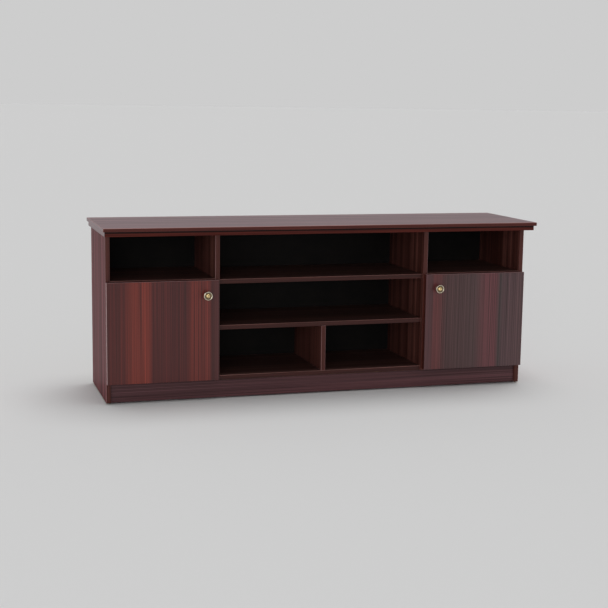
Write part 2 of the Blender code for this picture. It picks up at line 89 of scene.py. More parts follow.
def linear(hex_colour: str) -> tuple[float, float, float, float]:
    """Turns an sRGB hex colour into linear light.

    Args:
        hex_colour: a colour such as "#8b2f22".

    Returns:
        Red, green and blue in linear light, with an alpha of one.
    """
    channels = [int(hex_colour[i : i + 2], 16) / 255 for i in (1, 3, 5)]
    light = [c / 12.92 if c <= 0.04045 else ((c + 0.055) / 1.055) ** 2.4 for c in channels]
    return (light[0], light[1], light[2], 1.0)


def add_node(
    tree: bpy.types.NodeTree,
    kind: str,
    inputs: dict | None = None,
    stops: Iterable[tuple[float, str]] = (),
    **settings: object,
) -> bpy.types.Node:
    """Adds one node with its settings, its values and its links.

    Args:
        tree: the node tree that gets the node.
        kind: the node's type, such as "ShaderNodeTexNoise".
        inputs: a value, or a socket to link from, for each input by its name or number.
        stops: the places and hex colours of a colour ramp.
        **settings: the node's own attributes.

    Returns:
        The new node.
    """
    node = tree.nodes.new(kind)
    for name, value in settings.items():
        setattr(node, name, value)
    for key, value in (inputs or {}).items():
        if isinstance(value, bpy.types.NodeSocket):
            tree.links.new(value, node.inputs[key])
        else:
            node.inputs[key].default_value = value
    for number, (place, colour) in enumerate(stops):
        elements = node.color_ramp.elements
        element = elements[number] if number < 2 else elements.new(place)
        element.position = place
        element.color = linear(colour)
    return node


class Finish:
    """A surface finish, whose material is made the first time that it is asked for."""

    name: str

    def material(self) -> bpy.types.Material:
        """Gives the finish's material.

        Returns:
            The one material of this name.
        """
        made = bpy.data.materials.get(self.name)
        if made:
            return made
        made = bpy.data.materials.new(self.name)
        made.use_nodes = True
        made.node_tree.nodes.clear()
        shader = self.paint(made.node_tree)
        add_node(made.node_tree, "ShaderNodeOutputMaterial", {"Surface": shader.outputs[0]})
        return made

    def paint(self, tree: bpy.types.NodeTree) -> bpy.types.Node:
        """Builds the shader. Each finish has its own.

        Args:
            tree: the material's empty node tree.

        Returns:
            The shader node.
        """
        raise NotImplementedError


def streaks(
    tree: bpy.types.NodeTree, grain: Grain, across: float, along: float, detail: float = 2.0
) -> bpy.types.NodeSocket:
    """Noise drawn out along the grain.

    Args:
        tree: the material's node tree.
        grain: the way that the streaks run.
        across: the width of a streak, in metres.
        along: its length, in metres.
        detail: how many finer octaves it has.

    Returns:
        A value that wanders round one half.
    """
    scale = [1 / along if runs else 1 / across for runs in grain.value]
    place = add_node(tree, "ShaderNodeTexCoord").outputs["Object"]
    stretched = add_node(tree, "ShaderNodeMapping", {"Vector": place, "Scale": scale})
    inputs = {"Vector": stretched.outputs[0], "Scale": 1.0, "Detail": detail, "Roughness": 0.55}
    return add_node(tree, "ShaderNodeTexNoise", inputs).outputs[0]


def multiplied(
    tree: bpy.types.NodeTree,
    colour: bpy.types.NodeSocket,
    noise: bpy.types.NodeSocket,
    stops: Iterable[tuple[float, str]],
) -> bpy.types.NodeSocket:
    """Darkens a colour by a ramp of a noise.

    Args:
        tree: the material's node tree.
        colour: the colour to darken.
        noise: the value that the ramp reads.
        stops: the ramp's places and hex colours.

    Returns:
        The darkened colour.
    """
    ramp = add_node(tree, "ShaderNodeValToRGB", {0: noise}, stops)
    mix = add_node(
        tree,
        "ShaderNodeMix",
        {MIX_FACTOR: 1.0, MIX_FIRST: colour, MIX_SECOND: ramp.outputs[0]},
        data_type="RGBA",
        blend_type="MULTIPLY",
    )
    return mix.outputs[MIX_RESULT]


def speckle(tree: bpy.types.NodeTree, size: float, **more: float) -> bpy.types.NodeSocket:
    """Noise that is the same in every direction.

    Args:
        tree: the material's node tree.
        size: the width of a speck, in metres.
        **more: the noise's other inputs.

    Returns:
        A value that wanders round one half.
    """
    place = add_node(tree, "ShaderNodeTexCoord").outputs["Object"]
    inputs = {"Vector": place, "Scale": 1 / size, **more}
    return add_node(tree, "ShaderNodeTexNoise", inputs).outputs[0]


def surface(
    tree: bpy.types.NodeTree,
    relief: bpy.types.NodeSocket,
    strength: float,
    depth: float,
    inputs: dict,
    kind: str = "ShaderNodeBsdfPrincipled",
) -> bpy.types.Node:
    """Adds a shader with a fine relief.

    Args:
        tree: the material's node tree.
        relief: the height that the relief follows.
        strength: how much of it shows.
        depth: its depth, in metres.
        inputs: the shader's other inputs.
        kind: the shader's type.

    Returns:
        The shader node.
    """
    bump = add_node(
        tree, "ShaderNodeBump", {"Height": relief, "Strength": strength, "Distance": depth}
    )
    return add_node(tree, kind, {**inputs, "Normal": bump.outputs[0]})


@dataclass(frozen=True)
class MelamineLaminate(Finish):
    """Printed melamine paper on particle board: mahogany bands, fine dark lines, a satin glow."""

    name: str
    grain: Grain
    tones: tuple[str, ...] = ()
    bands: tuple[tuple[float, str], ...] = ()
    span: tuple[float, float] = (0.0, 1.0)
    gloss: float = 0.5
    roughness: float = 0.36
    sheen: tuple[float, float] = (-0.06, 0.08)
    band_width: float = 34 * MM
    stripe_width: float = 5.0 * MM
    line_width: float = 1.8 * MM
    pore_width: float = 0.5 * MM
    pore_depth: float = 0.04 * MM
    # Lengths along the grain, in widths
    band_length: float = 200.0
    line_length: float = 400.0
    pore_length: float = 24.0
    waver_width: float = 12 * MM
    waver_length: float = 900 * MM
    waver_reach: float = 6 * MM

    def figure(self, tree: bpy.types.NodeTree) -> bpy.types.NodeSocket:
        """The broad bands of the print.

        Args:
            tree: the material's node tree.

        Returns:
            The bands' colour.
        """
        if not self.bands:
            noise = streaks(tree, self.grain, self.band_width, self.band_length * self.band_width)
            stops = tuple(zip((0.36, 0.50, 0.62), self.tones))
            return add_node(tree, "ShaderNodeValToRGB", {0: noise}, stops).outputs[0]
        place = add_node(tree, "ShaderNodeTexCoord").outputs["Object"]
        across = add_node(tree, "ShaderNodeSeparateXYZ", {0: place}).outputs["X"]
        waver = streaks(tree, self.grain, self.waver_width, self.waver_length, detail=1.0)
        sums = {0: waver, 1: self.waver_reach, 2: across}
        shifted = add_node(tree, "ShaderNodeMath", sums, operation="MULTIPLY_ADD")
        start, end = (edge + self.waver_reach / 2 for edge in self.span)
        ends = {"Value": shifted.outputs[0], "From Min": start, "From Max": end}
        part = add_node(tree, "ShaderNodeMapRange", ends)
        return add_node(tree, "ShaderNodeValToRGB", {0: part.outputs[0]}, self.bands).outputs[0]

    def paint(self, tree: bpy.types.NodeTree) -> bpy.types.Node:
        """Lays stripes, lines and pores over the bands.

        Args:
            tree: the material's empty node tree.

        Returns:
            The shader node.
        """
        stripe, line, pore = (
            streaks(tree, self.grain, width, length * width, detail)
            for width, length, detail in (
                (self.stripe_width, self.line_length, 2),
                (self.line_width, self.line_length, 3),
                (self.pore_width, self.pore_length, 2),
            )
        )
        colour = multiplied(
            tree, self.figure(tree), stripe, ((0.36, "#c4bcbe"), (0.60, "#ffffff"))
        )
        colour = multiplied(tree, colour, line, ((0.36, "#9d8f92"), (0.52, "#ffffff")))
        polished, dull = (self.roughness + change for change in self.sheen)
        ends = {"Value": line, "To Min": polished, "To Max": dull}
        sheen = add_node(tree, "ShaderNodeMapRange", ends).outputs[0]
        paper = {"Base Color": colour, "Roughness": sheen, "Specular IOR Level": self.gloss}
        return surface(tree, pore, strength=0.5, depth=self.pore_depth, inputs=paper)


@dataclass(frozen=True)
class EdgeBand(Finish):
    """A glued edge band, printed to match: one red-brown with thin darker lines, a little glossier.

    Where two bands meet in a groove, the lower one gets painted shade, darker towards its top.
    """

    name: str
    grain: Grain
    dark: str
    light: str
    roughness: float = 0.30
    gloss: float = 0.3
    # Heights between which painted shade darkens the band, or None for none
    stained: tuple[float, float] | None = None
    line_width: float = 2.5 * MM
    line_length: float = 260 * MM
    ripple_width: float = 1.2 * MM
    ripple_length: float = 40 * MM
    ripple_depth: float = 0.03 * MM

    def paint(self, tree: bpy.types.NodeTree) -> bpy.types.Node:
        """Draws the band's fine lines.

        Args:
            tree: the material's empty node tree.

        Returns:
            The shader node.
        """
        noise = streaks(tree, self.grain, self.line_width, self.line_length, detail=3.0)
        stops = ((0.38, self.dark), (0.62, self.light))
        colour = add_node(tree, "ShaderNodeValToRGB", {0: noise}, stops).outputs[0]
        # Painted shade: the band darkens upward, as under the upper board's overhang
        if self.stained:
            place = add_node(tree, "ShaderNodeTexCoord").outputs["Object"]
            height = add_node(tree, "ShaderNodeSeparateXYZ", {0: place}).outputs["Z"]
            ends = {"Value": height, "From Min": self.stained[0], "From Max": self.stained[1]}
            depth = add_node(tree, "ShaderNodeMapRange", ends).outputs[0]
            colour = multiplied(tree, colour, depth, ((0.0, "#ffffff"), (1.0, "#2a2220")))
        ripple = streaks(tree, self.grain, self.ripple_width, self.ripple_length)
        plastic = {
            "Base Color": colour,
            "Roughness": self.roughness,
            "Specular IOR Level": self.gloss,
        }
        return surface(tree, ripple, strength=0.4, depth=self.ripple_depth, inputs=plastic)


@dataclass(frozen=True)
class ParticleBoard(Finish):
    """Raw chipboard at an edge with no band: pale tan chips with darker glue between them."""

    name: str = "raw particle board"
    chip: float = 1.6 * MM
    relief: float = 0.2 * MM

    def paint(self, tree: bpy.types.NodeTree) -> bpy.types.Node:
        """Draws the pressed chips.

        Args:
            tree: the material's empty node tree.

        Returns:
            The shader node.
        """
        place = add_node(tree, "ShaderNodeTexCoord").outputs["Object"]
        chips = add_node(tree, "ShaderNodeTexVoronoi", {"Vector": place, "Scale": 1 / self.chip})
        tone = add_node(tree, "ShaderNodeSeparateColor", {0: chips.outputs["Color"]})
        stops = ((0.0, "#7a5f46"), (0.4, "#a0845f"), (0.8, "#b79c76"), (1.0, "#cbb490"))
        colour = add_node(tree, "ShaderNodeValToRGB", {0: tone.outputs[0]}, stops)
        raw = {"Base Color": colour.outputs[0], "Roughness": 0.82}
        edges = chips.outputs["Distance"]
        return surface(tree, edges, strength=0.6, depth=self.relief, inputs=raw)


@dataclass(frozen=True)
class Hardboard(Finish):
    """Thin pressed fibreboard: mottled brown, matt, with short fibres in every direction."""

    name: str
    dark: str
    light: str
    roughness: float
    gloss: float
    fibre: float = 1.5 * MM
    cloud: float = 60 * MM
    relief: float = 0.1 * MM

    def paint(self, tree: bpy.types.NodeTree) -> bpy.types.Node:
        """Draws clouds with short fibres over them.

        Args:
            tree: the material's empty node tree.

        Returns:
            The shader node.
        """
        clouds = speckle(tree, self.cloud)
        fibres = speckle(tree, self.fibre, Detail=4.0, Distortion=1.5)
        stops = ((0.35, self.dark), (0.65, self.light))
        colour = add_node(tree, "ShaderNodeValToRGB", {0: clouds}, stops).outputs[0]
        colour = multiplied(tree, colour, fibres, ((0.40, "#b8b0a8"), (0.55, "#ffffff")))
        pressed = {
            "Base Color": colour,
            "Roughness": self.roughness,
            "Specular IOR Level": self.gloss,
        }
        return surface(tree, fibres, strength=0.4, depth=self.relief, inputs=pressed)


@dataclass(frozen=True)
class PlatedMetal(Finish):
    """Plated metal: one clear tone, with a faint orange peel and cloudy polish in its shine."""

    name: str
    colour: str
    roughness: float
    cloud: float = 3.0 * MM
    peel: float = 0.35 * MM
    relief: float = 0.02 * MM
    wear: float = 0.3

    def paint(self, tree: bpy.types.NodeTree) -> bpy.types.Node:
        """Varies the polish over the metal.

        Args:
            tree: the material's empty node tree.

        Returns:
            The shader node.
        """
        clouds = speckle(tree, self.cloud, Detail=3.0)
        bright, dull = (1 - self.wear) * self.roughness, (1 + self.wear) * self.roughness
        ends = {"Value": clouds, "To Min": bright, "To Max": dull}
        polish = add_node(tree, "ShaderNodeMapRange", ends).outputs[0]
        plate = {"Base Color": linear(self.colour), "Metallic": 1.0, "Roughness": polish}
        peel = speckle(tree, self.peel)
        return surface(tree, peel, strength=0.15, depth=self.relief, inputs=plate)


@dataclass(frozen=True)
class MouldedPlastic(Finish):
    """Moulded plastic: one plain colour with a fine spark-eroded grain that softens its shine."""

    name: str
    colour: str
    roughness: float
    grit: float = 0.4 * MM
    relief: float = 0.03 * MM

    def paint(self, tree: bpy.types.NodeTree) -> bpy.types.Node:
        """Draws the mould's grain.

        Args:
            tree: the material's empty node tree.

        Returns:
            The shader node.
        """
        skin = {"Base Color": linear(self.colour), "Roughness": self.roughness}
        grit = speckle(tree, self.grit)
        return surface(tree, grit, strength=0.3, depth=self.relief, inputs=skin)


@dataclass(frozen=True)
class BackdropPaper(Finish):
    """Matt studio paper, pale grey and even."""

    name: str = "backdrop paper"
    colour: str = "#e2e2e2"
    tooth: float = 4 * MM
    relief: float = 0.05 * MM

    def paint(self, tree: bpy.types.NodeTree) -> bpy.types.Node:
        """Gives the paper its flat tone with a faint tooth.

        Args:
            tree: the material's empty node tree.

        Returns:
            The shader node.
        """
        flat = {"Color": linear(self.colour)}
        tooth = speckle(tree, self.tooth)
        return surface(
            tree,
            tooth,
            strength=0.05,
            depth=self.relief,
            inputs=flat,
            kind="ShaderNodeBsdfDiffuse",
        )


# Laminates and bands. The print is redder where a band is light and browner where it is dark.
# Printed lines and pores are drawn a little coarser than life, so that they show. The outer
# sides are matt, so that they keep their red when they are seen nearly edge on.
SIDE_OUTSIDE = MelamineLaminate(
    "upright mahogany laminate",
    Grain.UPRIGHT,
    ("#5f2f33", "#864649", "#b06c71"),
    gloss=0.012,
    band_width=26 * MM,
)
DOOR_BACK = MelamineLaminate(
    "door back laminate", Grain.UPRIGHT, ("#571f1b", "#6d2c26", "#80382f")
)
TOP_FACE = MelamineLaminate(
    "lengthwise mahogany laminate", Grain.LENGTHWISE, ("#5b303b", "#794954", "#99696f")
)
# The inside laminates are darker than the outer faces' print: painted shade for the insides of the
# bays
INSIDE_UPRIGHT = MelamineLaminate(
    "inner upright laminate",
    Grain.UPRIGHT,
    ("#573129", "#70433b", "#86554b"),
    gloss=0.25,
    roughness=0.45,
)
INSIDE_LENGTHWISE = MelamineLaminate(
    "inner lengthwise laminate",
    Grain.LENGTHWISE,
    ("#422923", "#563731", "#684a43"),
    gloss=0.4,
    roughness=0.45,
)
PLINTH_FACE = MelamineLaminate(
    "plinth laminate",
    Grain.LENGTHWISE,
    ("#523135", "#5c383b", "#674145"),
    gloss=0.3,
    band_width=20 * MM,
    stripe_width=4 * MM,
)
# The doors' outer edges get a band lighter than the others: a painted highlight
BAND_DOOR_HIGHLIGHT = EdgeBand("door edge band with painted highlight", Grain.UPRIGHT, "#885d60", "#9e7477", 0.22)
BAND_UPRIGHT = EdgeBand("upright edge band", Grain.UPRIGHT, "#42170f", "#582a23")
BAND_LENGTHWISE = EdgeBand("lengthwise edge band", Grain.LENGTHWISE, "#34110c", "#441b15")
BAND_TOP = EdgeBand("top edge band", Grain.LENGTHWISE, "#461610", "#592118")
BAND_DEPTHWISE = EdgeBand("depthwise edge band", Grain.DEPTHWISE, "#6b4048", "#7d525a")
# Lighter bands for the arrises that face the light: a painted highlight
LIT_ARRIS = EdgeBand("painted highlight arris", Grain.LENGTHWISE, "#90625b", "#b08079", 0.25)
LIT_ARRIS_UPRIGHT = EdgeBand("upright painted highlight arris", Grain.UPRIGHT, "#9c7272", "#b98f90", 0.25)
CHIPBOARD = ParticleBoard()
RAW_EDGES = dict.fromkeys(Face, CHIPBOARD)
FOIL = Hardboard("dark printed hardboard", "#0b0807", "#120e0c", 0.60, 0.15)
RAW_HARDBOARD = Hardboard("raw hardboard", "#8c6b4c", "#957353", 0.75, 0.3)

# Fittings. The knobs' plate is a warm silver, and the hinges' plate a cooler, duller one.
NICKEL = PlatedMetal("polished nickel plate", "#ddd3bf", 0.20)
GROOVE_NICKEL = PlatedMetal("dull nickel groove", "#7a6f60", 0.50)
BRASS = PlatedMetal("polished brass plate", "#ecd29a", 0.22)
ZINC = PlatedMetal("nickel-plated zinc", "#cfd0d2", 0.40)
STEEL = PlatedMetal("bright zinc-plated steel", "#c6c8ca", 0.40)
NAIL_STEEL = PlatedMetal("coated nail steel", "#8d8a84", 0.42)
BUMPER_PLASTIC = MouldedPlastic("soft clear plastic", "#b3ada2", 0.32)

LEFT_DOOR_BANDS = (
    (0.00, "#5f1c18"),
    (0.16, "#661f19"),
    (0.20, "#8a3224"),
    (0.37, "#8c3325"),
    (0.40, "#5f1d1a"),
    (0.71, "#5d1c1a"),
    (0.75, "#78291f"),
    (0.92, "#7b2d25"),
    (0.94, "#451817"),
    (0.96, "#57211f"),
    (1.00, "#5b2829"),
)
RIGHT_DOOR_BANDS = (
    (0.00, "#643b3e"),
    (0.05, "#643b3e"),
    (0.09, "#773a3a"),
    (0.14, "#713939"),
    (0.21, "#5a3a3a"),
    (0.50, "#5b4040"),
    (0.60, "#723f43"),
    (0.72, "#774146"),
    (0.755, "#4a3d3c"),
    (0.79, "#614548"),
    (1.00, "#684a4c"),
)


def door_laminate(side: str) -> MelamineLaminate:
    """The laminate of one door's front, with its own run of bands.

    Args:
        side: "left" or "right".

    Returns:
        The finish.
    """
    low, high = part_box("door_" + side)
    bands = LEFT_DOOR_BANDS if side == "left" else RIGHT_DOOR_BANDS
    name = f"{side} door laminate"
    return MelamineLaminate(name, Grain.UPRIGHT, bands=bands, span=(low.x, high.x))


def new_piece(name: str, mesh: bpy.types.Mesh) -> bpy.types.Object:
    """Puts a mesh in the scene as an object at the origin.

    Args:
        name: the piece's name.
        mesh: its mesh, already in place.

    Returns:
        The object.
    """
    mesh.name = name
    piece = bpy.data.objects.new(name, mesh)
    bpy.context.scene.collection.objects.link(piece)
    return piece


def applied(piece: bpy.types.Object) -> bpy.types.Object:
    """Turns a piece's modifiers into its own plain mesh.

    Args:
        piece: an object with modifiers.

    Returns:
        The same object, with no modifiers left.
    """
    bpy.context.view_layer.update()
    graph = bpy.context.evaluated_depsgraph_get()
    mesh = bpy.data.meshes.new_from_object(piece.evaluated_get(graph))
    piece.modifiers.clear()
    piece.data = mesh
    mesh.name = piece.name
    return piece


def box_shape(low: Vector, high: Vector, arris: float = 0.0, steps: int = 2) -> bmesh.types.BMesh:
    """A box between two corners, with its edges rounded.

    Args:
        low: the lowest corner.
        high: the highest corner.
        arris: the edges' radius, or zero for sharp ones.
        steps: the facets across an edge.

    Returns:
        A new bmesh, for the caller to free.
    """
    shape = bmesh.new()
    bmesh.ops.create_cube(shape, size=1.0)
    bmesh.ops.scale(shape, vec=high - low, verts=shape.verts)
    bmesh.ops.translate(shape, vec=(low + high) / 2, verts=shape.verts)
    if arris:
        bmesh.ops.bevel(
            shape,
            geom=shape.edges[:],
            offset=arris,
            segments=steps,
            profile=0.5,
            affect="EDGES",
        )
    return shape


def to_mesh(shape: bmesh.types.BMesh) -> bpy.types.Mesh:
    """Makes a mesh of a bmesh, and frees it.

    Args:
        shape: the bmesh.

    Returns:
        The new mesh.
    """
    mesh = bpy.data.meshes.new("shape")
    shape.to_mesh(mesh)
    shape.free()
    return mesh


def cylinder_shape(centre: Vector, radius: float, length: float, steps: int) -> bmesh.types.BMesh:
    """A cylinder that lies front to back.

    Args:
        centre: its centre.
        radius: its radius.
        length: its length.
        steps: the facets round it.

    Returns:
        A new bmesh, for the caller to free.
    """
    shape = bmesh.new()
    place = Matrix.Translation(centre) @ Matrix.Rotation(math.radians(90), 4, "X")
    bmesh.ops.create_cone(
        shape,
        cap_ends=True,
        segments=steps,
        radius1=radius,
        radius2=radius,
        depth=length,
        matrix=place,
    )
    return shape


def turned_mesh(
    profile: list[tuple[float, float]], place: Matrix, steps: int = 72
) -> bpy.types.Mesh:
    """A solid turned about its own Z axis.

    Args:
        profile: radius and height down the outer side, from the axis at the top to the axis below.
        place: carries the turned shape to its place.
        steps: the facets round it.

    Returns:
        The mesh, with its outside facing out.
    """
    shape = bmesh.new()
    rings = []
    for radius, height in profile:
        count = 1 if radius == 0 else steps
        turns = [2 * math.pi * i / steps for i in range(count)]
        ring = [
            shape.verts.new(place @ Vector((radius * math.cos(a), radius * math.sin(a), height)))
            for a in turns
        ]
        rings.append(ring)
    for upper, lower in zip(rings, rings[1:]):
        for i in range(steps):
            corners = [
                upper[i % len(upper)],
                lower[i % len(lower)],
                lower[(i + 1) % len(lower)],
                upper[(i + 1) % len(upper)],
            ]
            shape.faces.new(dict.fromkeys(corners))
    bmesh.ops.recalc_face_normals(shape, faces=shape.faces)
    return to_mesh(shape)


def smoothed(mesh: bpy.types.Mesh, angle: float = 32) -> bpy.types.Mesh:
    """Shades a mesh smooth, but keeps its real corners sharp.

    Args:
        mesh: the mesh.
        angle: corners over this many degrees stay sharp.

    Returns:
        The same mesh.
    """
    mesh.shade_smooth()
    mesh.set_sharp_from_angle(angle=math.radians(angle))
    return mesh


def arc(
    centre: tuple[float, float], radius: float, start: float, end: float, steps: int
) -> list[tuple[float, float]]:
    """Points on an arc, both ends included.

    Args:
        centre: the arc's centre.
        radius: its radius.
        start: the first angle, in degrees.
        end: the last angle, in degrees.
        steps: how many chords it has.

    Returns:
        The points.
    """
    angles = [math.radians(start + (end - start) * i / steps) for i in range(steps + 1)]
    return [(centre[0] + radius * math.cos(a), centre[1] + radius * math.sin(a)) for a in angles]


@dataclass
class Board:
    """One board: a box with trimmed arrises, its faces covered and its edges banded or left raw."""

    node: str
    body: str
    covering: dict[Face, Finish]
    arris_finish: Finish = LIT_ARRIS
    slot: str = "board"
    arris: float = 0.7 * MM
    arris_reach: float = 1.5
    lit_slope: float = 0.2
    flatness: float = 0.01 * MM
    cutters: list[bpy.types.Object] = field(default_factory=list)

    def cut(self, name: str, shape: bmesh.types.BMesh) -> None:
        """Adds a shape to be cut out of the board.

        Args:
            name: the cutter's name.
            shape: the cutter, which this frees.
        """
        cutter = new_piece(name, to_mesh(shape))
        cutter.hide_render = True
        self.cutters.append(cutter)

    def build(self) -> bpy.types.Object:
        """Makes the board in its CAD node's place.

        Returns:
            The piece, riding on its body.
        """
        low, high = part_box(self.node)
        piece = new_piece(self.node + "_board", to_mesh(box_shape(low, high, self.arris)))
        for cutter in self.cutters:
            modifier = piece.modifiers.new(cutter.name, "BOOLEAN")
            modifier.object = cutter
            modifier.operation = "DIFFERENCE"
            modifier.solver = "EXACT"
        if self.cutters:
            applied(piece)
        for cutter in self.cutters:
            bpy.data.objects.remove(cutter, do_unlink=True)
        self.dress(piece, low, high)
        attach(piece, self.body)
        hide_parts(self.node)
        log.info("board %s", piece.name)
        return piece

    def dress(self, piece: bpy.types.Object, low: Vector, high: Vector) -> None:
        """Gives each face its finish.

        A flat outer face gets its covering. An arris that looks up or away from the stand's middle
        gets a lighter band, a painted highlight, and the others match the front. A cut is raw
        board.

        Args:
            piece: the board.
            low: the board's lowest corner.
            high: its highest corner.
        """
        finishes = [self.arris_finish, CHIPBOARD, self.covering[Face.FRONT]]
        finishes += [f for f in dict.fromkeys(self.covering.values()) if f not in finishes]
        piece.data.materials.clear()
        for finish in finishes:
            piece.data.materials.append(finish.material())
        near = self.arris_reach * self.arris
        for polygon in piece.data.polygons:
            middle = polygon.center
            gaps = [min(middle[i] - low[i], high[i] - middle[i]) for i in range(3)]
            polygon.material_index = 1
            if sum(gap < near for gap in gaps) > 1:
                # Painted highlight: arrises that face up, or out from the middle, get the lighter
                # band
                away = math.copysign(polygon.normal.x, polygon.normal.x * middle.x)
                lit = polygon.normal.z > self.lit_slope or away > self.lit_slope
                polygon.material_index = 0 if lit else 2
            for side, finish in self.covering.items():
                normal = Vector(side.value)
                corner = high if sum(side.value) > 0 else low
                depth = abs((middle - corner).dot(normal))
                if polygon.normal.dot(normal) > SQUARE and depth < self.flatness:
                    polygon.material_index = finishes.index(finish)


@dataclass
class Carcass:
    """The fixed boards: sides, partitions, bottoms, shelves, divider, plinth and back."""

    body: str = "carcass"
    rebate_clearance: float = 0.3 * MM
    sheet_arris: float = 0.3 * MM
    beyond: float = 10 * MM

    def build(self) -> None:
        """Makes every fixed board but the top."""
        for side, sign in SIDES.items():
            self.side_panel(side, sign)
            self.upright("partition_" + side)
            self.shelf("bottom_panel_" + side)
            self.shelf("cubby_shelf_" + side)
        self.upright("centre_divider")
        for name in ("bottom_panel_centre", "centre_shelf_lower", "centre_shelf_upper"):
            self.shelf(name)
        self.plinth()
        self.back()

    def side_panel(self, side: str, sign: int) -> None:
        """Makes one side panel, with the rebate that holds the back.

        Args:
            side: "left" or "right".
            sign: the side's direction along X.
        """
        outside, inside = (Face.LEFT, Face.RIGHT) if sign < 0 else (Face.RIGHT, Face.LEFT)
        faces = {outside: SIDE_OUTSIDE, inside: INSIDE_UPRIGHT, Face.FRONT: BAND_UPRIGHT}
        covering = {**RAW_EDGES, **faces}
        board = Board("side_panel_" + side, self.body, covering, LIT_ARRIS_UPRIGHT)
        low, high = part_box("side_panel_" + side)
        back_low, back_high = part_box("back_panel")
        reach = (back_high.x if sign > 0 else back_low.x) + sign * self.rebate_clearance
        inner = low.x if sign > 0 else high.x
        corners = sorted((reach, inner - sign * self.beyond))
        front = back_low.y - self.rebate_clearance
        notch_low = Vector((corners[0], front, low.z - self.beyond))
        notch_high = Vector((corners[1], high.y + self.beyond, high.z + self.beyond))
        board.cut("rebate_" + side, box_shape(notch_low, notch_high))
        board.build()

    def upright(self, node: str) -> None:
        """Makes a partition or a divider.

        Args:
            node: its CAD node.
        """
        faces = dict.fromkeys((Face.LEFT, Face.RIGHT), INSIDE_UPRIGHT)
        covering = {**RAW_EDGES, **faces, Face.FRONT: BAND_UPRIGHT}
        Board(node, self.body, covering, LIT_ARRIS_UPRIGHT).build()

    def shelf(self, node: str) -> None:
        """Makes a shelf or a bottom panel.

        Args:
            node: its CAD node.
        """
        faces = dict.fromkeys((Face.OVER, Face.UNDER), INSIDE_LENGTHWISE)
        covering = {**RAW_EDGES, **faces, Face.FRONT: BAND_LENGTHWISE}
        Board(node, self.body, covering).build()

    def plinth(self) -> None:
        """Makes the front plinth and the rear rail."""
        faces = dict.fromkeys((Face.FRONT, Face.REAR), PLINTH_FACE)
        covering = {**RAW_EDGES, **faces, Face.UNDER: BAND_LENGTHWISE}
        for node in ("plinth_front", "plinth_rear"):
            Board(node, self.body, covering, PLINTH_FACE).build()

    def back(self) -> None:
        """Makes the back: dark print inside, raw hardboard outside."""
        covering = {**dict.fromkeys(Face, RAW_HARDBOARD), Face.FRONT: FOIL}
        sheet = Board("back_panel", self.body, covering, RAW_HARDBOARD, slot="back_board")
        sheet.arris = self.sheet_arris
        sheet.build()


@dataclass
class TopAssembly:
    """The two-layer top, whose set-back lower layer leaves a groove, darkened by painted shade."""

    body: str = "carcass"
    top_arris: float = 1.0 * MM
    # The painted shade on the lower layer's front band starts this share of the way up it, and is
    # darkest this far below its top
    stain_start: float = 0.55
    stain_depth: float = 3.0 * MM

    def build(self) -> None:
        """Makes both layers."""
        faces = {Face.OVER: TOP_FACE, Face.UNDER: TOP_FACE, Face.REAR: CHIPBOARD}
        ends = {Face.LEFT: BAND_DEPTHWISE, Face.RIGHT: BAND_DEPTHWISE}
        top = Board("top_panel", self.body, {**faces, **ends, Face.FRONT: BAND_TOP})
        top.arris = self.top_arris
        top.build()
        low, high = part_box("under_top_panel")
        # A copy of the top's band with painted shade, for the upper layer's overhang
        heights = (low.z + self.stain_start * (high.z - low.z), high.z - self.stain_depth)
        stained = replace(BAND_TOP, name="stained top edge band", gloss=0.15, stained=heights)
        lower = Board("under_top_panel", self.body, {**faces, **ends, Face.FRONT: stained})
        lower.arris_finish = stained
        lower.build()


